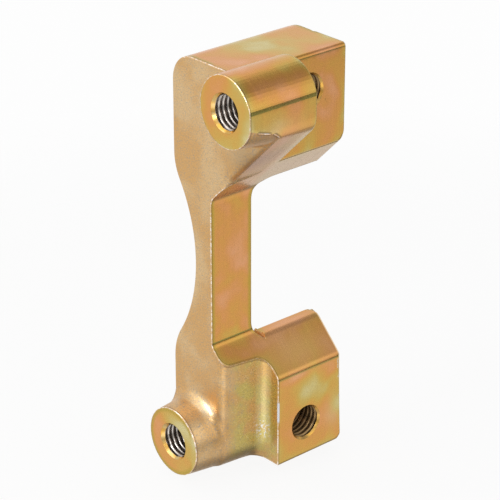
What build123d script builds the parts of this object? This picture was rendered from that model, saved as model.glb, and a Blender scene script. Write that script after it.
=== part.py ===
import os
from math import atan2, cos, radians, sin, tan
from build123d import *

os.makedirs("parts", exist_ok=True)

# all lengths in mm. X out of the caliper pads, Z up, the bosses open toward -Y
# origin: mouth of the lower pad hole

# tapped holes, all four alike, at the size they are drilled to before tapping
tapRadius = 6.0
sinkRadius = 6.95
bossSinkRadius = 7.1
padPitch = 130.0
padHoleShift = -0.8
upperPadDepth = 28.0
drillPoint = 3.0

# planes seen from the side, as Y
bossFaceY = -43.8
castFrontY = -33.0
webBackY = -14.45
upperBackY = 16.3
lowerBackY = 17.4
lowerWallY = -13.8

# upper block
blockLeftX = -33.7
topAboveBoss = 8.75
blockUnderZ = 97.2
blockCornerRadius = 10.5
padTopRadius = 1.4
blockBackRound = 3.0

# web between the two ends
webFaceX = -14.15
webWidth = 8.42
waistZ = 67.67
waistRadius = 55.27
waistUpperRound = 18.9
waistLowerRound = 22.4
plateLeftX = -34.95

# 45 degree faces: the upper one passes slopeDrop below the boss, the lower one meets the pad at lowerSlope
slopeDrop = 21.1
lowerSlope = 23.0
upperBlend = 5.0
lowerBlend = 3.2
slopeDraft = 2.3
stripWidth = 3.7
castBlend = 7.0

# lower block
lowerBottomZ = -13.0
earBackX = -17.6
ledgeZ = 35.26
ledgeRound = 4.0
reliefDepth = 1.1
padEdgeRound = 3.2
earTopRound = 1.2
earCornerRound = 2.5

# lower plate
plateCornerRadius = 16.0
sideLean = 1.4
sideDraft = 4.0
plateSideRound = 3.4
plateWallBlend = 5.0

# bosses
lowerBossX = -23.7
lowerBossZ = -1.7
lowerBossRadius = 13.05
upperBossX = 6.1
upperBossZ = 135.25
castShiftX = 0.3
castShiftZ = 0.35
upperBossRadius = 12.75
upperTurnedRadius = 13.05
upperFlatDepth = 0.4
flatEdgeRound = 6.0
upperBossDraft = 6.6
lowerBossDraft = 5.8
upperBossBlend = 2.5
lowerBossBlend = 4.5
bossCornerRadius = 8.0

# blends behind the web
hollowRadius = 8.0
earHollow = 5.0

# what follows from them
blockTopZ = upperBossZ + topAboveBoss
upperSlope = upperBossZ - slopeDrop - upperBossX
waistX = webFaceX - webWidth - waistRadius
upperCastX = upperBossX + castShiftX
upperCastZ = upperBossZ + castShiftZ


def plate(face, fromY, toY):
    # a drawing in X and Z, made solid between two Y planes
    return extrude(Plane.XZ.offset(-fromY) * face, amount=-(toY - fromY))


def cone(x, z, radius, draft, fromY, toY):
    length = toY - fromY
    foot = radius + length * tan(radians(draft))
    body = Cone(foot, radius, length, align=(Align.CENTER, Align.CENTER, Align.MIN))
    return Pos(x, toY, z) * Rot(90, 0, 0) * body


def bore(x, y, z, direction, depth, sink):
    # tapped hole without its thread, with a 45 degree countersink at the mouth
    drill = Plane(origin=(x, y, z), z_dir=direction)
    hole = extrude(drill * Circle(tapRadius), amount=-depth)
    tip = Cone(0.01, tapRadius, drillPoint, align=(Align.CENTER, Align.CENTER, Align.MAX))
    hole += drill * Pos(0, 0, -depth) * tip
    lip = sink - tapRadius
    over = 1.0
    mouth = Cone(tapRadius, sink + over, lip + over, align=(Align.CENTER, Align.CENTER, Align.MIN))
    return hole + drill * Pos(0, 0, -lip) * mouth


# cast front plate: web, upper end and lower end in one, drafted from back to front
def castOutline(y):
    recess = (webBackY - stripWidth - y) * tan(radians(slopeDraft)) * 2 ** 0.5
    lineHigh = upperSlope + recess
    lean = radians(sideLean)
    corner = plateCornerRadius - (webBackY - y) * tan(radians(sideDraft))
    touchX = lowerBossX + corner * cos(lean)
    touchZ = lowerBossZ - corner * sin(lean)
    middle = (lowerBossX + corner * sin(radians(45)), lowerBossZ - corner * cos(radians(45)))
    cornerX = (touchX + (lineHigh - touchZ) * tan(lean)) / (1 - tan(lean))
    cornerZ = cornerX + lineHigh
    low = lowerBossZ - corner
    top = blockTopZ + 40
    far = 34.0
    left = waistX + 20
    with BuildLine() as outline:
        Line((left, low), (lowerBossX, low))
        ThreePointArc((lowerBossX, low), middle, (touchX, touchZ))
        Polyline((touchX, touchZ), (cornerX, cornerZ), (far, far + lineHigh), (far, top), (left, top), (left, low))
    face = make_face(outline.line)
    return fillet(face.vertices().sort_by_distance((cornerX, cornerZ, 0))[0], castBlend)


# machined contour: pads, both 45 degree faces, web face and the turned top of the upper boss
def machinedContour():
    flatX = upperBossX + upperTurnedRadius - upperFlatDepth
    flatTop = (upperTurnedRadius ** 2 - (flatX - upperBossX) ** 2) ** 0.5
    rise = blockTopZ - upperBossZ
    reach = (upperTurnedRadius ** 2 - rise ** 2) ** 0.5
    start = (flatX, upperBossZ + flatTop)
    crown = (upperBossX, upperBossZ + upperTurnedRadius)
    end = (upperBossX - reach, blockTopZ)
    left = waistX + 10
    with BuildLine() as outline:
        Polyline((left, blockTopZ), (left, -40), (0, -40), (0, lowerSlope), (webFaceX, lowerSlope - webFaceX))
        Polyline((webFaceX, lowerSlope - webFaceX), (webFaceX, upperSlope + webFaceX), (flatX, upperSlope + flatX), start)
        ThreePointArc(start, crown, end)
        Line(end, (left, blockTopZ))
    contour = make_face(outline.line)
    corners = contour.vertices()
    inner = corners.sort_by_distance((webFaceX, lowerSlope - webFaceX, 0))[0]
    contour = fillet(inner, lowerBlend)
    inner = contour.vertices().sort_by_distance((webFaceX, upperSlope + webFaceX, 0))[0]
    contour = fillet(inner, upperBlend)
    inner = contour.vertices().sort_by_distance((flatX, upperSlope + flatX, 0))[0]
    contour = fillet(inner, bossCornerRadius)
    inner = contour.vertices().sort_by_distance((flatX, upperBossZ + flatTop, 0))[0]
    contour = fillet(inner, flatEdgeRound)
    inner = contour.vertices().sort_by_distance((0, lowerSlope, 0))[0]
    return fillet(inner, padEdgeRound)


# cast left side and bottom, with the waist behind the web
def castContour():
    highX = blockLeftX + waistUpperRound
    highZ = waistZ + ((waistRadius + waistUpperRound) ** 2 - (highX - waistX) ** 2) ** 0.5
    lowX = plateLeftX + waistLowerRound
    lowZ = waistZ - ((waistRadius + waistLowerRound) ** 2 - (lowX - waistX) ** 2) ** 0.5
    upper = waistRadius / (waistRadius + waistUpperRound)
    lower = waistRadius / (waistRadius + waistLowerRound)
    joinHigh = (waistX + (highX - waistX) * upper, waistZ + (highZ - waistZ) * upper)
    joinLow = (waistX + (lowX - waistX) * lower, waistZ + (lowZ - waistZ) * lower)
    foot = lowerBossX - plateLeftX
    right = 40.0
    with BuildLine() as outline:
        RadiusArc((blockLeftX, highZ), joinHigh, -waistUpperRound)
        RadiusArc(joinHigh, joinLow, waistRadius)
        RadiusArc(joinLow, (plateLeftX, lowZ), -waistLowerRound)
        Line((plateLeftX, lowZ), (plateLeftX, lowerBottomZ + foot))
        RadiusArc((plateLeftX, lowerBottomZ + foot), (lowerBossX, lowerBottomZ), -foot)
        Polyline((lowerBossX, lowerBottomZ), (right, lowerBottomZ), (right, blockTopZ + 20))
        Polyline((right, blockTopZ + 20), (blockLeftX + blockCornerRadius, blockTopZ + 20))
        Line((blockLeftX + blockCornerRadius, blockTopZ + 20), (blockLeftX + blockCornerRadius, blockTopZ))
        RadiusArc((blockLeftX + blockCornerRadius, blockTopZ), (blockLeftX, blockTopZ - blockCornerRadius), -blockCornerRadius)
        Line((blockLeftX, blockTopZ - blockCornerRadius), (blockLeftX, highZ))
    return make_face(outline.line)


def frontChain(body):
    # front edge of the plate from its bottom, up its right side and along the upper slope
    found = []
    for edge in body.edges():
        middle = edge @ 0.5
        level = abs((edge @ 0).Y - castFrontY) + abs((edge @ 1).Y - castFrontY) < 1e-3
        if level and middle.Z < blockTopZ and middle.X < 30 and middle.X > waistX + 25:
            found.append(edge)
    return found


def coneFoot(body, x, z, radius, draft):
    # where a boss meets the front of the plate
    found = []
    for edge in body.edges():
        middle = edge @ 0.5
        away = ((middle.X - x) ** 2 + (middle.Z - z) ** 2) ** 0.5
        grown = radius + (middle.Y - bossFaceY) * tan(radians(draft))
        if castFrontY - 1 < middle.Y < castFrontY + 2.9 and abs(away - grown) < 0.02:
            found.append(edge)
    return found


front = Plane.XZ.offset(-castFrontY) * castOutline(castFrontY)
joinY = lowerWallY + 1
rear = Plane.XZ.offset(-joinY) * castOutline(joinY)
casting = loft([front, rear], ruled=True)
casting = fillet(frontChain(casting), plateSideRound)
casting += cone(upperCastX, upperCastZ, upperBossRadius, upperBossDraft, bossFaceY, castFrontY + 3)
casting = fillet(coneFoot(casting, upperCastX, upperCastZ, upperBossRadius, upperBossDraft), upperBossBlend)
casting += cone(lowerBossX, lowerBossZ, lowerBossRadius, lowerBossDraft, bossFaceY, castFrontY + 3)
casting = fillet(coneFoot(casting, lowerBossX, lowerBossZ, lowerBossRadius, lowerBossDraft), lowerBossBlend)

# blocks behind the plate that carry the pads, oversize where they are cut below
spare = 12.0
upperHeight = blockTopZ - blockUnderZ + spare
upperWidth = spare - blockLeftX
upperMiddle = Pos(-upperWidth / 2, blockTopZ - upperHeight / 2)
upperBlock = plate(upperMiddle * Rectangle(upperWidth, upperHeight), webBackY - stripWidth + 0.5, upperBackY)
upperBlock = fillet(upperBlock.edges().filter_by(Axis.Y).sort_by_distance((0, 0, blockTopZ))[0], padTopRadius)
earHeight = ledgeZ - lowerBottomZ + 2 * spare
earWidth = 2 * spare - earBackX
earMiddle = Pos(spare - earWidth / 2, (ledgeZ + lowerBottomZ) / 2)
lowerBlock = plate(earMiddle * Rectangle(earWidth, earHeight), lowerWallY, lowerBackY)


def wallFoot(body):
    # inner corner between the side of the plate and the front wall of the lower block
    found = []
    for edge in body.edges():
        middle = edge @ 0.5
        flat = abs(middle.Y - lowerWallY) + abs((edge @ 0).Y - lowerWallY) + abs((edge @ 1).Y - lowerWallY) < 1e-3
        if flat and -20 < middle.Z < ledgeZ and middle.X < -2 and middle.X > lowerBossX + 3:
            found.append(edge)
    return found


def backHollow():
    # side view of the space behind the web, in Y and Z
    # the cutter that leaves its radius at both ends of the web dips below the ledge at the lower one
    dip = ledgeZ - reliefDepth
    middleZ = ledgeZ + 0.73 * hollowRadius
    reach = (hollowRadius ** 2 - (middleZ - dip) ** 2) ** 0.5
    end = (webBackY + hollowRadius - reach, dip)
    half = 0.5 * atan2(middleZ - dip, reach)
    between = (webBackY + hollowRadius * (1 - cos(half)), middleZ - hollowRadius * sin(half))
    with BuildLine() as outline:
        ThreePointArc((webBackY, middleZ), between, end)
        Polyline(end, (end[0] + 0.7 * reliefDepth, ledgeZ), (60, ledgeZ), (60, blockUnderZ))
        Polyline((60, blockUnderZ), (webBackY, blockUnderZ), (webBackY, middleZ))
    hollow = make_face(outline.line)
    corner = hollow.vertices().sort_by_distance((webBackY, blockUnderZ, 0))[0]
    return fillet(corner, hollowRadius)


def ledgeCutter():
    # what the form tool takes off the ridge between the ledge and the lower 45 degree face
    ridgeX = lowerSlope - ledgeZ
    run = ledgeRound * tan(radians(22.5))
    lowX, lowZ = ridgeX + run * cos(radians(45)), ledgeZ - run * sin(radians(45))
    centre = (ridgeX - run, ledgeZ - ledgeRound)
    middle = (centre[0] + ledgeRound * sin(radians(22.5)), centre[1] + ledgeRound * cos(radians(22.5)))
    with BuildLine() as outline:
        ThreePointArc((ridgeX - run, ledgeZ), middle, (lowX, lowZ))
        Polyline((lowX, lowZ), (lowX + 2, lowZ + 2), (ridgeX - run, lowZ + 4), (ridgeX - run, ledgeZ))
    start = webBackY + 0.5 * hollowRadius + 0.2
    return plate(make_face(outline.line), start, lowerBackY + 5)


def earCutter():
    # rounding between the ledge and the back of the ear, behind both hollows
    inX = earBackX + earTopRound
    inZ = ledgeZ - earTopRound
    middle = (inX - earTopRound * cos(radians(45)), inZ + earTopRound * sin(radians(45)))
    with BuildLine() as outline:
        ThreePointArc((earBackX, inZ), middle, (inX, ledgeZ))
        Polyline((inX, ledgeZ), (inX, ledgeZ + 2), (earBackX - 2, ledgeZ + 2), (earBackX - 2, inZ), (earBackX, inZ))
    return plate(make_face(outline.line), webBackY + earHollow + 0.3, lowerBackY + 5)


casting += lowerBlock
casting = fillet(wallFoot(casting), plateWallBlend)
casting += upperBlock
casting -= extrude(Plane.YZ.offset(-60) * backHollow(), amount=120)
casting = casting & plate(machinedContour(), bossFaceY - 5, 40)

# back of the plate beside the lower block
earSide = Pos(earBackX - 30, webBackY + 30, 0) * Box(60, 60, 2 * blockUnderZ)
earSide = fillet(earSide.edges().filter_by(Axis.Z).sort_by_distance((earBackX, webBackY, 0))[0], earHollow)
casting -= earSide

# shoulder behind the upper boss, cut together with the pads
casting -= Pos(40, webBackY + 40, blockTopZ) * Box(80, 80, 120)
casting = casting & plate(castContour(), bossFaceY - 5, 40)
casting += cone(lowerBossX, lowerBossZ, lowerBossRadius, lowerBossDraft, bossFaceY, webBackY)


def backEdges(body, y, low, high, tilted):
    # straight edges on a back face: along X, or sloping at 45 degrees
    found = []
    for edge in body.edges().filter_by(GeomType.LINE):
        middle = edge @ 0.5
        way = edge % 0.5
        slopes = abs(way.X) > 0.1 and (abs(way.Z) > 0.1 or not tilted)
        if abs((edge @ 0).Y - y) + abs((edge @ 1).Y - y) < 1e-3 and low < middle.Z < high and slopes:
            found.append(edge)
    return found


casting = fillet(backEdges(casting, upperBackY, blockUnderZ - 1, blockTopZ - 20, False), blockBackRound)
foot = backEdges(casting, lowerBackY, lowerBottomZ - 1, lowerBottomZ + 1, False)
casting = fillet(foot, earCornerRound)
casting -= ledgeCutter()
casting -= earCutter()
casting -= bore(0, 0, 0, (1, 0, 0), -earBackX + 1, sinkRadius)
casting -= bore(0, padHoleShift, padPitch, (1, 0, 0), upperPadDepth, sinkRadius)
casting -= bore(lowerBossX, bossFaceY, lowerBossZ, (0, -1, 0), webBackY - bossFaceY + 1, bossSinkRadius)
casting -= bore(upperBossX, bossFaceY, upperBossZ, (0, -1, 0), webBackY - bossFaceY + 1, bossSinkRadius)
print("volume", round(casting.volume), "valid", casting.is_valid, "solids", len(casting.solids()))
export_step(casting, "parts/caliper_adapter.step")
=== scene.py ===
from math import ceil, hypot, pi, radians

import bmesh
import bpy
from mathutils import Matrix, Vector, kdtree


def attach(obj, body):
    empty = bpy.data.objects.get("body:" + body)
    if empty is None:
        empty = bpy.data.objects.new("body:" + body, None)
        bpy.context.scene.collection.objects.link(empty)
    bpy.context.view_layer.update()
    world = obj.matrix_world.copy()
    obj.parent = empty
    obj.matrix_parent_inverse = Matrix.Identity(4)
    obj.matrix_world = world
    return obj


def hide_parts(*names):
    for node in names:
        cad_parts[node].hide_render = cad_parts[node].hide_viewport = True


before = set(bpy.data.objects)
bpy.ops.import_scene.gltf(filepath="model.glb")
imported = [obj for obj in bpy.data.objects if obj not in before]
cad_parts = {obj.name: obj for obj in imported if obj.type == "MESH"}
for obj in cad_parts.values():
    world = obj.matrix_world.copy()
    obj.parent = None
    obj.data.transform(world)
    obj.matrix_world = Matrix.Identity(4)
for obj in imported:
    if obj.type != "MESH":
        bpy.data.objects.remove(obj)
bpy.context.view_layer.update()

# sizes and places are in mm, except those of the camera, the lamps and the floor's disc, in metres
mm = 0.001
weld = 0.002        # points closer than this become one
near = 0.02         # how far off a plane a point may lie and still count as on it

# camera and look of the picture
camera = {
    "place": (0.490810, -0.457066, 0.386403),
    "turn": (90 - 25.258, 0, 48.8),
    "lens": 150.75,
    "sensor": 36,
    "nearest": 0.05,
}


def makeCamera(name, c):
    eye = bpy.data.cameras.new(name)
    eye.lens = c["lens"]
    eye.sensor_width = c["sensor"]
    eye.clip_start = c["nearest"]
    stand = bpy.data.objects.new(name, eye)
    stand.location = c["place"]
    stand.rotation_euler = [radians(a) for a in c["turn"]]
    bpy.context.scene.collection.objects.link(stand)
    bpy.context.scene.camera = stand


makeCamera("productCamera", camera)
bpy.context.scene.view_settings.view_transform = "Standard"
print("camera set")


# a socket of a shader or geometry tree that can be used in sums
class Wire:
    def __init__(self, tree, socket):
        self.tree = tree
        self.socket = socket

    def math(self, operation, *others):
        sockets = {i: v for i, v in enumerate((self,) + others)}
        return addNode(self.tree, "ShaderNodeMath", {"operation": operation}, sockets)[0]

    def __add__(self, other):
        return self.math("ADD", other)

    def __sub__(self, other):
        return self.math("SUBTRACT", other)

    def __rsub__(self, other):
        return (self * -1) + other

    def __neg__(self):
        return self * -1

    def __mul__(self, other):
        return self.math("MULTIPLY", other)

    def __truediv__(self, other):
        return self.math("DIVIDE", other)

    def __rtruediv__(self, other):
        return self.math("POWER", -1.0) * other

    def __abs__(self):
        return self.math("ABSOLUTE")

    def exp(self):
        return self.math("EXPONENT")

    __radd__ = __add__
    __rmul__ = __mul__

    # start below low, end above high, smooth between
    def step(self, low, high, start=0.0, end=1.0):
        settings = {"interpolation_type": "SMOOTHSTEP"}
        sockets = {"Value": self, "From Min": low, "From Max": high, "To Min": start, "To Max": end}
        return addNode(self.tree, "ShaderNodeMapRange", settings, sockets)[0]


# one node of any kind: its settings first, then values or wires for its sockets
def addNode(tree, kind, settings=None, sockets=None):
    node = tree.nodes.new(kind)
    for key, value in (settings or {}).items():
        if key == "stops":
            ramp = node.color_ramp
            while len(ramp.elements) < len(value):
                ramp.elements.new(1.0)
            for stop, (place, colour) in zip(ramp.elements, value):
                stop.position = place
                stop.color = tuple(colour) + (1.0,)
        elif key == "blend":
            node.color_ramp.interpolation = value
        else:
            setattr(node, key, value)
    for key, value in (sockets or {}).items():
        socket = node.inputs[key]
        if isinstance(value, Wire):
            tree.links.new(value.socket, socket)
        elif hasattr(value, "__len__") and socket.type == "RGBA":
            socket.default_value = tuple(value) + (1.0,) * (4 - len(value))
        else:
            socket.default_value = value
    return [Wire(tree, out) for out in node.outputs if out.enabled]


# a material with its Principled shader and the patterns that the finishes share
class Skin:
    def __init__(self, name, **fixed):
        self.material = bpy.data.materials.new(name)
        self.material.use_nodes = True
        self.tree = self.material.node_tree
        self.shader = self.tree.nodes["Principled BSDF"]
        for key, value in fixed.items():
            self.shader.inputs[key].default_value = value
        self.place = self.node("ShaderNodeTexCoord")[3]     # object coordinates
        self.x, self.y, self.z = [w / mm for w in self.parts(self.place)]

    def node(self, kind, settings=None, sockets=None):
        return addNode(self.tree, kind, settings, sockets)

    def parts(self, vector):
        return self.node("ShaderNodeSeparateXYZ", sockets={0: vector})

    # how far the surface faces east, north and up
    def facing(self):
        return self.parts(self.node("ShaderNodeTexCoord")[1])   # the surface's own direction

    # size: the distance from one blotch to the next
    def noise(self, size, detail=2.0, rough=0.5, stretch=(1, 1, 1), shift=(0, 0, 0), twist=0.0):
        scale = [1 / (size * mm * s) for s in stretch]
        sockets = {"Vector": self.place, "Location": shift, "Scale": scale}
        spot = self.node("ShaderNodeMapping", sockets=sockets)[0]
        sockets = {"Vector": spot, "Scale": 1.0, "Detail": detail, "Roughness": rough, "Distortion": twist}
        return self.node("ShaderNodeTexNoise", {"noise_dimensions": "3D"}, sockets)[0]

    def ramp(self, value, stops, blend="B_SPLINE"):
        settings = {"stops": stops, "blend": blend}
        return self.node("ShaderNodeValToRGB", settings, {"Fac": value})[0]

    # sockets 6 and 7 of a Mix node are its two colours
    def mix(self, share, first, second):
        settings = {"data_type": "RGBA", "blend_type": "MIX", "clamp_result": False}
        return self.node("ShaderNodeMix", settings, {0: share, 6: first, 7: second})[0]

    # a soft round spot, 1 in its middle
    def spot(self, middle, reach):
        far = 0.0
        for wire, m, r in zip((self.x, self.y, self.z), middle, reach):
            away = (wire - m) / r
            far = far + away * away
        return (-far).exp()

    def attribute(self, name):
        return self.node("ShaderNodeAttribute", {"attribute_name": name})[2]

    # thin and stained places in the plate, with painted shade and painted highlights
    def tintAndPaintLight(self, colour):
        for middle, reach, tone, share in stainsAndPaintedLight:
            colour = self.mix(self.spot(middle, reach) * share, colour, plating[tone])
        return colour

    # edges broken by hand: a line of wear that is partly painted highlight, with bright flecks, a painted
    # shade line beside it, and a tilt
    def rimWearAndPaintedLight(self, colour, rough, relief, width):
        p = plating
        m = rimMarks
        rim = self.attribute("rimDistance")
        lined = self.attribute("rimLined").step(0.4, 0.6)
        sides = 1 - abs(self.facing()[1]).step(0.5, 0.9)
        # painted shade: a dark band beside the line on the sides
        shade = rim.step(width * 0.6, width + 0.1) - rim.step(width + 0.2, width + 0.6)
        colour = self.mix(shade * sides * lined * 0.5, colour, p["shadow"])
        line = (1 - rim.step(width * 0.6, width)) * lined
        # in the quiet stretch the line itself is painted shade
        quiet = self.spot(*m["quiet"]).step(0.15, 0.45)
        colour = self.mix(line * quiet * 0.6, colour, p["shadow"])
        line = line * (1 - quiet * 0.9)
        # the line and its flecks: partly wear, partly painted highlight
        colour = self.mix(line * 0.55, colour, p["wornHighlight"])
        fleck = self.noise(m["fleck"], 4.0, 0.75).step(0.48, 0.57)
        colour = self.mix(line * fleck * 0.9, colour, p["rubbedHighlight"])
        bare = self.spot(*m["bare"]).step(0.2, 0.5) * (1 - rim.step(*m["bareEdge"]))
        colour = self.mix(bare, colour, p["chip"])
        relief = self.bump(rim.step(0.0, width + 0.1), 1.0, m["tilt"], under=relief)
        return self.feed(Base_Color=colour, Roughness=rough * (1 - line * 0.4), Normal=relief)

    def bump(self, height, strength, distance, under=None):
        sockets = {"Height": height, "Strength": strength, "Distance": distance * mm}
        if under:
            sockets["Normal"] = under
        return self.node("ShaderNodeBump", None, sockets)[0]

    def feed(self, **wires):
        for key, wire in wires.items():
            self.tree.links.new(wire.socket, self.shader.inputs[key.replace("_", " ")])
        return self.material


# tones of the plate and of what shows through it
plating = {
    # film on the cut faces, from thin to thick, and along its rims; moss is a painted dark reflection on the
    # folds
    "pink": (0.76, 0.39, 0.22),
    "orange": (0.66, 0.275, 0.075),
    "gold": (0.64, 0.36, 0.075),
    "green": (0.55, 0.41, 0.09),
    "lime": (0.64, 0.58, 0.30),
    "olive": (0.44, 0.32, 0.045),
    "mossDarkReflection": (0.20, 0.23, 0.06),
    "dull": (0.60, 0.445, 0.25),
    # cast skin
    "tan": (0.66, 0.45, 0.22),
    "amber": (0.60, 0.33, 0.10),
    "grey": (0.27, 0.27, 0.26),
    "pale": (0.88, 0.72, 0.50),
    "wall": (0.50, 0.42, 0.10),
    # stains, and umber for painted shade
    "straw": (0.82, 0.54, 0.20),
    "umberShade": (0.16, 0.09, 0.04),
    "rose": (0.86, 0.44, 0.22),
    # chips, and broken edges: wear that is partly painted highlight, and painted shade
    "chip": (0.72, 0.74, 0.80),
    "rubbedHighlight": (0.97, 0.86, 0.76),
    "wornHighlight": (0.84, 0.56, 0.36),
    "shadow": (0.14, 0.07, 0.025),
    # threads and countersinks; the groove tones also paint shade in the grooves and deep in the holes
    "steel": (0.50, 0.46, 0.42),
    "steelGroove": (0.05, 0.03, 0.02),
    "brown": (0.26, 0.17, 0.08),
    "brownGroove": (0.05, 0.025, 0.01),
    "sink": (0.62, 0.44, 0.18),
    "sinkBrown": (0.44, 0.27, 0.09),
}

# broken edges
rimMarks = {
    "cutWidth": 0.25,                           # width of the rubbed line on cut and on cast faces
    "castWidth": 0.45,
    "fleck": 1.3,                               # size of its bright flecks
    "tilt": 0.14,                               # how far the surface falls away at the edge
    "quiet": ((-8.5, -22, 31), (8, 10, 8)),     # stretch where the line is painted shade only: middle and reach
    "bare": ((0, -13.8, 9), (2, 2, 4)),         # stretch that lost its plate
    "bareEdge": (0.4, 0.8),
}

# stains, thin spots, painted shade and painted highlights: middle, reach, tone, share
stainsAndPaintedLight = [
    # painted shade under the upper boss and its slope
    ((4, -30, 114), (8, 9, 7), "umberShade", 0.42),
    ((8, -20, 116), (5, 6, 5), "umberShade", 0.12),
    # painted shade at the foot of the side wall
    ((-10, -22, -11), (7, 12, 5), "umberShade", 0.40),
    # painted highlight on the lower boss's blend, and painted shade beside it
    ((-15.5, -33.6, 11.8), (3.2, 3, 2.2), "pale", 0.8),
    ((-10.5, -34.5, 8), (2.5, 4, 5), "umberShade", 0.30),
    # thin spots and stains in the plate
    ((-11, -10, 34), (4, 6, 4), "rose", 0.35),
    ((0, 14, 0), (3, 4, 6), "lime", 0.35),
    ((-13, 6, 35.3), (3, 12, 1.5), "pink", 0.6),
    # painted highlight in the side wall's concave fillet
    ((-5.9, -16, 8), (1.6, 3, 12), "lime", 0.5),
    # thin spots and stains in the plate
    ((-5, 0, 28), (8, 14, 8), "straw", 0.5),
    ((18.75, -28, 130), (3, 9, 5), "rose", 0.4),
]

# film on the cut faces: 0 is thin and pink, 1 is thick and green
film = {
    "mean": 0.36,
    "wide": 15,                 # size of the wide and the small blotches, and how much each changes the film
    "wideShare": 1.1,
    "small": 4.5,
    "smallShare": 0.30,
    "rimReach": 1.8,            # it is thicker along the rims, except on the web's side
    "rimShare": 0.32,
    "webX": (-14.0, -12.8),     # where the web's side ends, and its olive band along the rims
    "oliveBand": (0.7, 2.2),
    "slope": 108.05,            # z - x of the upper slope, and where its dull part fades toward the front
    "slopeY": (-19, -13),
    "grain": 0.6,
    "marks": 0.45,              # width of the tool marks, and how much longer they are
    "marksLong": 60,
    "roughness": 0.24,
}

# where the film is thicker (+) or thinner (-): middle, reach, by how much
blooms = [
    ((-17, -6, 144), (13, 12, 5), 0.55),
    ((-8, -15, 144), (6, 3, 4), -0.25),
    ((0, 8, 144), (4, 12, 4), -0.30),
    ((18.7, -27, 131), (4, 8, 3), 0.30),
    ((18.7, -42, 131), (4, 4, 6), 0.15),
    ((0, 9, 100), (4, 12, 4), 0.20),
    ((0, 8, 122), (4, 10, 10), -0.16),
    ((0, 3, 13), (4, 9, 5), 0.36),
    ((0, 14, 0), (4, 4, 7), 0.22),
    ((0, -6, 21), (4, 9, 2.5), -0.25),
    ((-14, -24, 66), (3, 6, 16), -0.14),
    ((12, -44, 140), (9, 3, 8), 0.26),
    ((-4, -44, 128), (6, 3, 9), -0.22),
    ((-20, -44, 6), (9, 3, 6), 0.50),
    ((11, -28, 147), (3, 14, 3), 0.36),
    ((-11, -11, 34), (5, 6, 3), -0.40),
    ((-14, -24, 45), (3, 8, 7), 0.20),
    ((16, -44, 134), (3, 3, 6), 0.05),
    ((-14, -44, -3), (4, 3, 5), 0.25),
]


# zinc plate with its film colours on cut faces
def makeMachined(f):
    p = plating
    skin = Skin("platedCutFace", **{"Metallic": 0.88, "IOR": 1.5})
    rim = skin.attribute("rimDistance")
    web = 1 - skin.x.step(*f["webX"])
    wide = skin.noise(f["wide"], 1.5, 0.5, shift=(3.1, 0.4, 7.7), twist=0.5)
    small = skin.noise(f["small"], 2.0, 0.5, shift=(1.3, 5.2, 0.6))
    depth = (wide - 0.5) * f["wideShare"] + (small - 0.5) * f["smallShare"] + f["mean"]
    for middle, reach, amount in blooms:
        depth = depth + skin.spot(middle, reach) * amount
    depth = depth + (rim / -f["rimReach"]).exp() * f["rimShare"] * (1 - web)
    tones = {"pink": 0.0, "orange": 0.28, "gold": 0.52, "green": 0.74, "lime": 1.0}
    colour = skin.ramp(depth, [(place, p[tone]) for tone, place in tones.items()])
    olive = (1 - rim.step(*f["oliveBand"])) * web
    colour = skin.mix(olive * 0.8, colour, p["olive"])
    # painted dark reflection on the folds between a slope and a pad, painted highlight on the rounds at the
    # back
    east, north, high = skin.facing()
    darkReflectionBand = high.step(0.01, 0.06) * (1 - high.step(0.14, 0.24)) * east.step(0.6, 0.8)
    colour = skin.mix(darkReflectionBand * 0.75, colour, p["mossDarkReflection"])
    backRoundHighlight = north.step(0.10, 0.35) * east.step(0.3, 0.5)
    colour = skin.mix(backRoundHighlight * 0.8, colour, p["pale"])
    slope = 1 - abs(skin.z - skin.x - f["slope"]).step(0.2, 0.7)
    colour = skin.mix(slope * skin.y.step(*f["slopeY"], 0.45, 1) * 0.75, colour, p["dull"])
    grain = skin.noise(f["grain"], 3.0, 0.6)
    colour = skin.mix(grain.step(0.40, 0.72) * 0.22, colour, p["amber"])
    marks = skin.noise(f["marks"], 1.0, 0.5, stretch=(f["marksLong"], 1, f["marksLong"]))
    rough = (grain - 0.5) * 0.20 + (marks - 0.5) * 0.16 + f["roughness"]
    relief = skin.bump(grain + marks * 0.6, 0.22, 0.02)
    return skin.rimWearAndPaintedLight(skin.tintAndPaintLight(colour), rough, relief, rimMarks["cutWidth"])


# sizes of the cast skin's patterns, and the middle and reach of its spots
casting = {
    "wide": 13,
    "sheen": 7,
    "lumps": 2.2,
    "mottle": 0.9,
    "pits": 0.50,
    "chips": 0.8,
    "chipped": ((-6.6, -15.6, 1), (2.5, 2.5, 4)),
    "polished": ((-15.5, -33.5, 11.5), (5, 4, 4)),
    "rimReach": 1.4,            # amber along the rims
    "roughness": 0.37,
}


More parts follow.
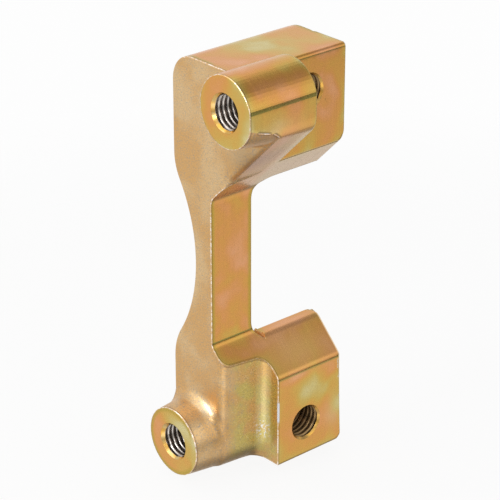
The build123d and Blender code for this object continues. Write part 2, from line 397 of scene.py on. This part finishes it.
# as-cast skin under the same plate: tan, grainy, with grey specks, smoother and greener on the side wall
def makeCast(c):
    p = plating
    skin = Skin("platedCastSkin", **{"Metallic": 0.8, "IOR": 1.5})
    rim = skin.attribute("rimDistance")
    wall = skin.attribute("wallShare")
    wide = skin.noise(c["wide"], 2.0, 0.5, shift=(2.0, 9.0, 4.0))
    pits = skin.noise(c["pits"], 4.0, 0.7)
    mottle = skin.noise(c["mottle"], 3.0, 0.65, shift=(5.0, 5.0, 1.0))
    lumps = skin.noise(c["lumps"], 2.0, 0.55, shift=(7.0, 1.0, 3.0))
    colour = skin.mix(wide.step(0.36, 0.64) * 0.8, p["tan"], p["amber"])
    sheen = skin.noise(c["sheen"], 1.5, 0.5, shift=(4.0, 2.0, 1.0)).step(0.35, 0.6)
    greener = skin.mix(sheen * 0.8 + mottle * 0.6 - 0.2, p["amber"], p["wall"])
    colour = skin.mix(wall * 0.9, colour, greener)
    colour = skin.mix((rim / -c["rimReach"]).exp() * 0.45, colour, p["amber"])
    colour = skin.mix(mottle.step(0.52, 0.66) * 0.4, colour, p["amber"])
    speck = pits.step(0.50, 0.65) * (0.80 - wall * 0.45) + lumps.step(0.55, 0.75) * 0.20
    colour = skin.mix(speck, colour, p["grey"])
    colour = skin.mix(pits.step(0.44, 0.30) * 0.45, colour, p["pale"])
    flakes = skin.noise(c["chips"], 2.0, 0.5, shift=(2.0, 1.0, 6.0)).step(0.55, 0.6)
    colour = skin.mix(skin.spot(*c["chipped"]) * flakes, colour, p["chip"])
    rough = (pits - 0.5) * 0.35 + c["roughness"] - wall * 0.08 - skin.spot(*c["polished"]) * 0.12
    relief = skin.bump(pits + lumps * 0.7, 0.5, 0.10)
    return skin.rimWearAndPaintedLight(skin.tintAndPaintLight(colour), rough, relief, rimMarks["castWidth"])


# bare or plated flanks with painted shade in the grooves and further down the hole, and the gold
# countersink;
# "crest", "sink" and "deep" come with the thread's mesh
def makeThreadSkin(name, light, dark, gold, roughness, paintedDepthShade):
    p = plating
    skin = Skin(name, **{"Metallic": 1.0})
    streak = skin.noise(1.0, 3.0, 0.6)
    # painted shade: the grooves darker than the crests
    colour = skin.mix(skin.attribute("crest").step(0.0, 0.65), p[dark], p[light])
    colour = skin.mix(streak.step(0.45, 0.7) * 0.25, colour, p[dark])
    # painted shade further down the hole
    colour = skin.mix(skin.attribute("deep").step(*paintedDepthShade) * 0.85, colour, p[dark])
    cone = skin.mix(skin.noise(2.5, 2.0, 0.5).step(0.35, 0.65), p[gold], p["gold"])
    colour = skin.mix(skin.attribute("sink").step(0.2, 0.8), colour, cone)
    rough = (streak - 0.5) * 0.15 + roughness
    return skin.feed(Base_Color=colour, Roughness=rough)


skins = [
    makeMachined(film),
    makeCast(casting),
    makeThreadSkin("bareThread", "steel", "steelGroove", "sink", 0.22, (4, 14)),
    makeThreadSkin("platedThread", "brown", "brownGroove", "sinkBrown", 0.28, (1, 8)),
]
cutFace, castFace, steelFace, brownFace = range(len(skins))
print("materials made")

# tapped holes: middle of the mouth, way out, depth, radius of the countersink
holes = {
    "lowerPad": {
        "mouth": (0, 0, 0), "way": (1, 0, 0),
        "depth": 17.6, "sink": 6.95, "skin": brownFace,
    },
    "upperPad": {
        "mouth": (0, -0.8, 130), "way": (1, 0, 0),
        "depth": 28.0, "sink": 6.95, "skin": brownFace,
    },
    "lowerBoss": {
        "mouth": (-23.7, -43.8, -1.7), "way": (0, -1, 0),
        "depth": 29.35, "sink": 7.1, "skin": steelFace,
    },
    "upperBoss": {
        "mouth": (6.1, -43.8, 135.25), "way": (0, -1, 0),
        "depth": 29.35, "sink": 6.98, "skin": steelFace,
    },
}
boreReach = 7.3     # what lies nearer to a hole's axis than this belongs to the hole


# the hole that a point lies in or beside, and its way there from the axis
def inHole(spot):
    for h in holes.values():
        way = Vector(h["way"])
        away = spot - Vector(h["mouth"])
        deep = -away.dot(way)
        radial = away + way * deep
        if radial.length < boreReach and -0.05 < deep < h["depth"] + 0.05:
            return h, radial
    return None, None


# where the casting is cut
cuts = {
    "bossY": -43.5,             # the bosses' faces, and the back
    "backY": -15,
    "topZ": 143,                # the top with its turned edge
    "rightX": -14.3,            # right sides and slopes, but not the lower plate's wall,
    "castWall": (-5, -13, 34),  # which lies below these x, y and z
    "ledgeZ": (30, 40),         # the ledge with the foot of the web, and its notch,
    "notch": (-15.5, -16, 33),  # which lies beyond these x, y and z
}


# c and n: middle and direction of a face
def faceKind(c, n):
    along = abs(n.y) < 0.05
    wallX, wallY, wallZ = cuts["castWall"]
    notchX, notchY, notchZ = cuts["notch"]
    low, high = cuts["ledgeZ"]
    boss = n.y < -0.97 and c.y < cuts["bossY"]
    back = n.y > 0.9 and c.y > cuts["backY"]
    top = along and n.z > 0.5 and c.z > cuts["topZ"]
    castWall = c.x < wallX and c.y < wallY and c.z < wallZ
    right = along and n.x > 0.15 and c.x > cuts["rightX"] and not castWall
    notch = n.z > -0.1 and c.x > notchX and c.y > notchY and c.z > notchZ
    ledge = along and n.x > -0.6 and low < c.z < high and (n.z > 0.2 or notch)
    return cutFace if boss or back or top or right or ledge else castFace


# side wall of the lower plate: from where to where its finish comes in
sideWall = {"x": (-13.5, -9.5), "y": (-31, -26), "z": (40, 34)}


def wallShare(spot):
    share = 1
    for axis, (start, end) in sideWall.items():
        share *= min(max((getattr(spot, axis) - start) / (end - start), 0), 1)
    return share


# the casting itself, a finer copy of its solid with broken edges
body = {
    "frontY": -33,          # front face of the plate, and from where to where its left edge is round
    "leftEdgeZ": (12, 143),
    "leftEdge": 1.2,
    "backY": 17.4,          # back and left side of the lower block, its ledge and the round behind it
    "earX": -17.6,
    "ledgeZ": 35.26,
    "earTop": 1.2,
    "backEdge": 1.8,        # round of the edges of that back, and of its upright corner at the left
    "earCorner": 3.0,
    "edgeAngle": 24,        # corners sharper than this count as rims, with a point this often along them
    "spacing": 0.1,
    "notch": (-8, -16, 40),     # left of, behind and below these the ledge's notch has no rubbed lines
    "mesh": 2.2,            # longest mesh edge, and the longest one along a rim
    "fine": 0.55,
    "reach": 12,            # how far from a rim the film still changes
}


def middleOf(edge):
    return (edge.verts[0].co + edge.verts[1].co) / 2 / mm


# whole faces, each with its finish, and drilled walls that make room for the threads
def copySolid(node):
    mesh = bmesh.new()
    mesh.from_mesh(node.data)
    bmesh.ops.remove_doubles(mesh, verts=mesh.verts, dist=weld * mm)
    bmesh.ops.dissolve_degenerate(mesh, edges=mesh.edges, dist=weld * mm / 2)
    bmesh.ops.dissolve_limit(mesh, angle_limit=radians(0.25), verts=mesh.verts, edges=mesh.edges)
    for face in mesh.faces:
        face.material_index = faceKind(face.calc_center_median() / mm, face.normal)
    for v in mesh.verts:
        h, radial = inHole(v.co / mm)
        if h and radial.length > h["sink"] / 2:
            v.co += radial * (h["sink"] / radial.length - 1) * mm
    return mesh


# the cast plate's left edge and the edges of the lower block's back are rounder than the others
def roundEdges(mesh, b):
    low, high = b["leftEdgeZ"]
    soft = {"left": [], "back": []}
    for e in mesh.edges:
        if not e.is_manifold or e.calc_face_angle(0) < radians(40):
            continue
        middle = middleOf(e)
        ys = [v.co.y / mm for v in e.verts]
        side = any(f.normal.x < -0.3 and abs(f.normal.y) < 0.1 for f in e.link_faces)
        if side and low < middle.z < high and all(abs(y - b["frontY"]) < near for y in ys):
            soft["left"].append(e)
        elif middle.x > b["earX"] + b["earTop"] and all(abs(y - b["backY"]) < near for y in ys):
            soft["back"].append(e)
    for key, edges in soft.items():
        size = b[key + "Edge"] * mm
        bmesh.ops.bevel(mesh, geom=edges, offset=size, offset_type="OFFSET", segments=6, profile=0.5,
                        affect="EDGES", clamp_overlap=key == "left", material=-1, loop_slide=True)
        print(key, "edge rounded:", len(edges), "edges")


# points along the sharp edges, and whether each lies on an edge that was broken by hand
def findRims(mesh, b):
    notchX, notchY, notchZ = b["notch"]
    spots = []
    lined = []
    for e in mesh.edges:
        middle = middleOf(e)
        sharp = e.is_manifold and e.calc_face_angle(0) > radians(b["edgeAngle"])
        # the upright corner at the back gets its round later
        corner = all(v.co.x / mm < b["earX"] + near and v.co.y / mm > b["backY"] - near for v in e.verts)
        if not sharp or corner or inHole(middle)[0]:
            continue
        kinds = {f.material_index for f in e.link_faces}
        front = any(f.normal.y < -0.97 for f in e.link_faces)
        notch = middle.x < notchX and middle.y > notchY and cuts["ledgeZ"][0] < middle.z < notchZ
        parts = int(e.calc_length() / (b["spacing"] * mm)) + 1
        spots += [e.verts[0].co.lerp(e.verts[1].co, k / parts) for k in range(parts + 1)]
        lined += [float((len(kinds) > 1 or front) and not notch)] * (parts + 1)
    rims = kdtree.KDTree(len(spots))
    for k, spot in enumerate(spots):
        rims.insert(spot, k)
    rims.balance()
    print("body", len(mesh.faces), "faces", sum(not e.is_manifold for e in mesh.edges), "open edges")
    return rims, lined


# short mesh edges along the rims and longer ones away from them, with what the finishes read
def refine(mesh, rims, lined, b):
    rimLayer = mesh.verts.layers.float.new("rimDistance")
    lineLayer = mesh.verts.layers.float.new("rimLined")
    wallLayer = mesh.verts.layers.float.new("wallShare")
    bmesh.ops.triangulate(mesh, faces=mesh.faces)
    for halving in range(9):
        for v in mesh.verts:
            nearest, index, far = rims.find(v.co)
            v[rimLayer] = min(far / mm, b["reach"])
            v[lineLayer] = lined[index]
        long = []
        for e in mesh.edges:
            limit = min(b["mesh"], 1.2 * min(v[rimLayer] for v in e.verts) + b["fine"])
            if e.calc_length() / mm > limit:
                long.append(e)
        if not long:
            break
        bmesh.ops.subdivide_edges(mesh, edges=long, cuts=1, use_grid_fill=False)
        bmesh.ops.triangulate(mesh, faces=[f for f in mesh.faces if len(f.verts) > 3])
    for v in mesh.verts:
        v[wallLayer] = wallShare(v.co / mm)


# the upright corner behind the ledge, and what the round of the ledge's edge left over at its end
def roundCorner(mesh, b):
    left, back, top, corner, edge = [b[k] * mm for k in ("earX", "backY", "ledgeZ", "earCorner", "backEdge")]
    end = left + (b["earTop"] + 0.5) * mm
    for v in mesh.verts:
        inY = v.co.y - back + edge
        inZ = v.co.z - top + edge
        far = hypot(inY, inZ)
        if v.co.x < end and inY > 0 and 0 < inZ < 1.01 * edge and far > edge:
            v.co.y -= inY * (1 - edge / far)
            v.co.z -= inZ * (1 - edge / far)
        inX = left + corner - v.co.x
        inY = v.co.y - back + corner
        if min(inX, inY) > 0:
            # squares round the corner's middle become circles
            share = max(inX, inY) / hypot(inX, inY)
            v.co.x = left + corner - inX * share
            v.co.y = back - corner + inY * share


def makeBody(name, b):
    mesh = copySolid(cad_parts["caliper_adapter"])
    roundEdges(mesh, b)
    rims, lined = findRims(mesh, b)
    refine(mesh, rims, lined, b)
    roundCorner(mesh, b)
    data = bpy.data.meshes.new(name)
    mesh.to_mesh(data)
    mesh.free()
    for skin in skins:
        data.materials.append(skin)
    data.shade_smooth()
    data.set_sharp_from_angle(angle=radians(20))
    piece = bpy.data.objects.new(name, data)
    bpy.context.scene.collection.objects.link(piece)
    print("body finished:", len(data.polygons), "triangles")
    return piece


adapter = makeBody("adapterBody", body)
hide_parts("caliper_adapter")
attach(adapter, "root")

# threads: the wall of each tapped hole, made by a node tree
thread = {
    "Crest radius": 5.92,
    "Root radius": 7.0,
    "Pitch": 2.0,
    "Steps": 64,            # points on one turn
}
rowsPerPitch = 16
runIn = (0.5, 1.3)          # the groove gets its full depth between these depths
sleeve = 0.02               # how far the sleeve that closes the wall stands outside the countersink


def threadTree():
    tree = bpy.data.node_groups.new("windThread", "GeometryNodeTree")
    tree.interface.new_socket("Geometry", in_out="OUTPUT", socket_type="NodeSocketGeometry")
    inputs = {
        "Float": ("Sink radius", "Crest radius", "Root radius", "Pitch", "Depth"),
        "Int": ("Steps", "Rows"),
        "Vector": ("Mouth", "Turn"),
        "Material": ("Finish",),
    }
    for kind, names in inputs.items():
        for name in names:
            tree.interface.new_socket(name, in_out="INPUT", socket_type="NodeSocket" + kind)
    entry = addNode(tree, "NodeGroupInput")
    sink, crest, root, pitch, depth, steps, rows, mouth, turn, finish = entry[:10]
    # a grid of rows down the hole and steps around it, sheared by one pitch so that rows follow the helix
    lines = rows + 3
    sizes = {"Size X": 1.0, "Size Y": 1.0, "Vertices X": steps + 1, "Vertices Y": lines}
    grid = addNode(tree, "GeometryNodeMeshGrid", None, sizes)[0]
    index = addNode(tree, "GeometryNodeInputIndex")[0]
    step = (index / lines).math("FLOOR")
    row = index - step * lines
    around = step / steps
    deep = ((row / rowsPerPitch + around - 1) * pitch).math("MAXIMUM", 0.0).math("MINIMUM", depth)
    groove = 0.5 - ((deep / pitch - around) * (2 * pi)).math("COSINE") * 0.5
    cut = crest + groove * (root - crest) * deep.step(*runIn)
    cone = sink - deep
    wall = cut.math("MAXIMUM", cone)
    onCone = (cone - cut).step(-0.02, 0.06)
    # the last three rows close the wall into a sleeve
    end = row.math("COMPARE", rows, 0.1)
    back = row.math("COMPARE", rows + 1, 0.1)
    front = row.math("COMPARE", rows + 2, 0.1)
    inner = 1 - end - back - front
    radius = wall * inner + (sink + sleeve) * (end + back) + sink * front
    deep = deep * inner + depth * end
    angle = around * (-2 * pi)
    where = {0: radius * angle.math("COSINE"), 1: radius * angle.math("SINE"), 2: -deep}
    spot = addNode(tree, "ShaderNodeCombineXYZ", None, where)[0]
    made = addNode(tree, "GeometryNodeSetPosition", None, {"Geometry": grid, "Position": spot})[0]
    for key, value in {"crest": 1 - groove, "sink": onCone, "deep": deep}.items():
        settings = {"data_type": "FLOAT", "domain": "POINT"}
        sockets = {"Geometry": made, "Name": key, "Value": value}
        made = addNode(tree, "GeometryNodeStoreNamedAttribute", settings, sockets)[0]
    made = addNode(tree, "GeometryNodeMergeByDistance", None, {"Geometry": made, "Distance": weld})[0]
    sockets = {"Geometry": made, "Translation": mouth, "Rotation": turn}
    made = addNode(tree, "GeometryNodeTransform", None, sockets)[0]
    made = addNode(tree, "GeometryNodeTransform", None, {"Geometry": made, "Scale": (mm, mm, mm)})[0]
    made = addNode(tree, "GeometryNodeRealizeInstances", None, {"Geometry": made})[0]
    made = addNode(tree, "GeometryNodeSetMaterial", None, {"Geometry": made, "Material": finish})[0]
    tree.links.new(made.socket, tree.nodes.new("NodeGroupOutput").inputs[0])
    return tree


def windThread(name, tree, h):
    blank = bpy.data.meshes.new(name + "Blank")
    maker = bpy.data.objects.new(name + "Maker", blank)
    bpy.context.scene.collection.objects.link(maker)
    modifier = maker.modifiers.new("wind", "NODES")
    modifier.node_group = tree
    values = dict(thread)
    values["Sink radius"] = h["sink"]
    values["Depth"] = h["depth"]
    values["Rows"] = ceil((h["depth"] / thread["Pitch"] + 1) * rowsPerPitch) + 1
    values["Mouth"] = h["mouth"]
    values["Turn"] = tuple(Vector(h["way"]).to_track_quat("Z", "Y").to_euler())
    values["Finish"] = skins[h["skin"]]
    for item in tree.interface.items_tree:
        if item.in_out == "INPUT":
            modifier[item.identifier] = values[item.name]
    bpy.context.view_layer.update()
    ready = maker.evaluated_get(bpy.context.evaluated_depsgraph_get())
    data = bpy.data.meshes.new_from_object(ready)
    maker.modifiers.clear()
    bpy.data.objects.remove(maker)
    data.name = name
    whole = bmesh.new()
    whole.from_mesh(data)
    bmesh.ops.dissolve_degenerate(whole, edges=whole.edges, dist=weld * mm / 2)
    bmesh.ops.recalc_face_normals(whole, faces=whole.faces)
    print(name, "open edges:", sum(not e.is_manifold for e in whole.edges), "faces:", len(whole.faces))
    whole.to_mesh(data)
    whole.free()
    data.shade_smooth()
    data.set_sharp_from_angle(angle=radians(35))
    piece = bpy.data.objects.new(name, data)
    bpy.context.scene.collection.objects.link(piece)
    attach(piece, "root")
    return piece


winding = threadTree()
for key, h in holes.items():
    windThread(key + "Thread", winding, h)
print("threads wound")

# studio: a pale floor disc that fades into a white surround, soft lamps
studio = {
    "floorHeight": -17.9,   # in mm, just under the part
    "floorTone": 0.86,
    "floorLift": 0.92,      # how much of the floor's shade the camera doesn't see
    "floorReach": (0.22, 0.40),
    "surround": 0.985,
    "fill": 0.50,
}

# what reflections see of the studio besides white: direction, reach, and how much darker it is there
gaps = {
    "ceiling": {"way": (0.12, 0.596, 0.794), "reach": (0.82, 0.985), "dark": 0.60},
    "litPaper": {"way": (0.60, -0.68, -0.43), "reach": (0.90, 0.985), "dark": -0.75},
    "underneath": {"way": (-0.05, 0.30, -0.953), "reach": (0.83, 0.97), "dark": 0.72},
}

# a dark band round the studio's right half, between two heights
skirting = {"high": 0.03, "low": -0.36, "blur": 0.1, "side": 0.35, "dark": 0.75}

lampAim = (0, -0.01, 0.06)
lamps = {
    "frontLeft": {"place": (-0.45, -1.0, 0.85), "size": 1.4, "power": 5.0},
    "right": {"place": (1.1, 0.1, 0.45), "size": 1.2, "power": 2.5},
    "top": {"place": (-0.35, 0.1, 1.3), "size": 1.2, "power": 3.5},
    "spark": {"place": (-0.12, -0.97, 0.40), "size": 0.34, "power": 2.2},
    "camera": {"place": (0.60, -0.82, 0.50), "size": 0.30, "power": 1.4},
}


def lightRays(tree, *kinds):
    rays = tree.nodes.new("ShaderNodeLightPath")
    return [Wire(tree, rays.outputs["Is %s Ray" % kind]) for kind in kinds]


def makeFloor(name, s):
    start, rim = s["floorReach"]
    disc = bmesh.new()
    lift = Matrix.Translation((0, 0, s["floorHeight"] * mm))
    bmesh.ops.create_circle(disc, cap_ends=True, segments=96, radius=rim, matrix=lift)
    data = bpy.data.meshes.new(name)
    disc.to_mesh(data)
    disc.free()
    floor = bpy.data.objects.new(name, data)
    bpy.context.scene.collection.objects.link(floor)
    material = bpy.data.materials.new(name)
    material.use_nodes = True
    tree = material.node_tree
    shader = tree.nodes["Principled BSDF"]
    shader.inputs["Base Color"].default_value = (s["floorTone"],) * 3 + (1.0,)
    shader.inputs["Roughness"].default_value = 0.9
    paper = Wire(tree, shader.outputs[0])
    white = addNode(tree, "ShaderNodeEmission", None, {"Color": (1, 1, 1), "Strength": s["surround"]})[0]
    clear = addNode(tree, "ShaderNodeBsdfTransparent")[0]
    seen, glossy = lightRays(tree, "Camera", "Glossy")
    place = addNode(tree, "ShaderNodeTexCoord")[3]      # object coordinates
    away = addNode(tree, "ShaderNodeVectorMath", {"operation": "LENGTH"}, {0: place})[-1]
    lit = addNode(tree, "ShaderNodeMixShader", None, {0: seen * s["floorLift"], 1: paper, 2: white})[0]
    gone = away.step(start, rim * 0.98).math("MAXIMUM", glossy)
    faded = addNode(tree, "ShaderNodeMixShader", None, {0: gone, 1: lit, 2: clear})[0]
    tree.links.new(faded.socket, tree.nodes["Material Output"].inputs["Surface"])
    data.materials.append(material)
    return floor


def makeWorld(s):
    world = bpy.data.worlds.new("studioWorld")
    world.use_nodes = True
    bpy.context.scene.world = world
    tree = world.node_tree
    ground = tree.nodes["Background"]
    seen, glossy, through = lightRays(tree, "Camera", "Glossy", "Transmission")
    way = addNode(tree, "ShaderNodeTexCoord")[0]    # the direction that a ray goes in
    east, north, high = addNode(tree, "ShaderNodeSeparateXYZ", None, {0: way})
    shade = 1.0
    for gap in gaps.values():
        sockets = {0: way, 1: gap["way"]}
        toward = addNode(tree, "ShaderNodeVectorMath", {"operation": "DOT_PRODUCT"}, sockets)[-1]
        shade = shade - toward.step(*gap["reach"]) * gap["dark"]
    low, top, blur = skirting["low"], skirting["high"], skirting["blur"]
    band = high.step(low, low + blur) * (1 - high.step(top - blur, top))
    shade = shade - band * east.step(0, skirting["side"]) * skirting["dark"]
    white = seen.math("MAXIMUM", through)
    light = glossy * shade * s["surround"] + (1 - glossy) * s["fill"]
    strength = white * s["surround"] + (1 - white) * light
    ground.inputs["Color"].default_value = (1, 1, 1, 1)
    tree.links.new(strength.socket, ground.inputs["Strength"])


def makeLamp(name, lamp):
    light = bpy.data.lights.new(name, "AREA")
    light.shape = "DISK"
    light.size = lamp["size"]
    light.energy = lamp["power"]
    stand = bpy.data.objects.new(name, light)
    stand.location = lamp["place"]
    aim = Vector(lampAim) - Vector(lamp["place"])
    stand.rotation_euler = aim.to_track_quat("-Z", "Y").to_euler()
    bpy.context.scene.collection.objects.link(stand)


makeFloor("studioFloor", studio)
makeWorld(studio)
for key, lamp in lamps.items():
    makeLamp(key + "Lamp", lamp)
print("studio lit")
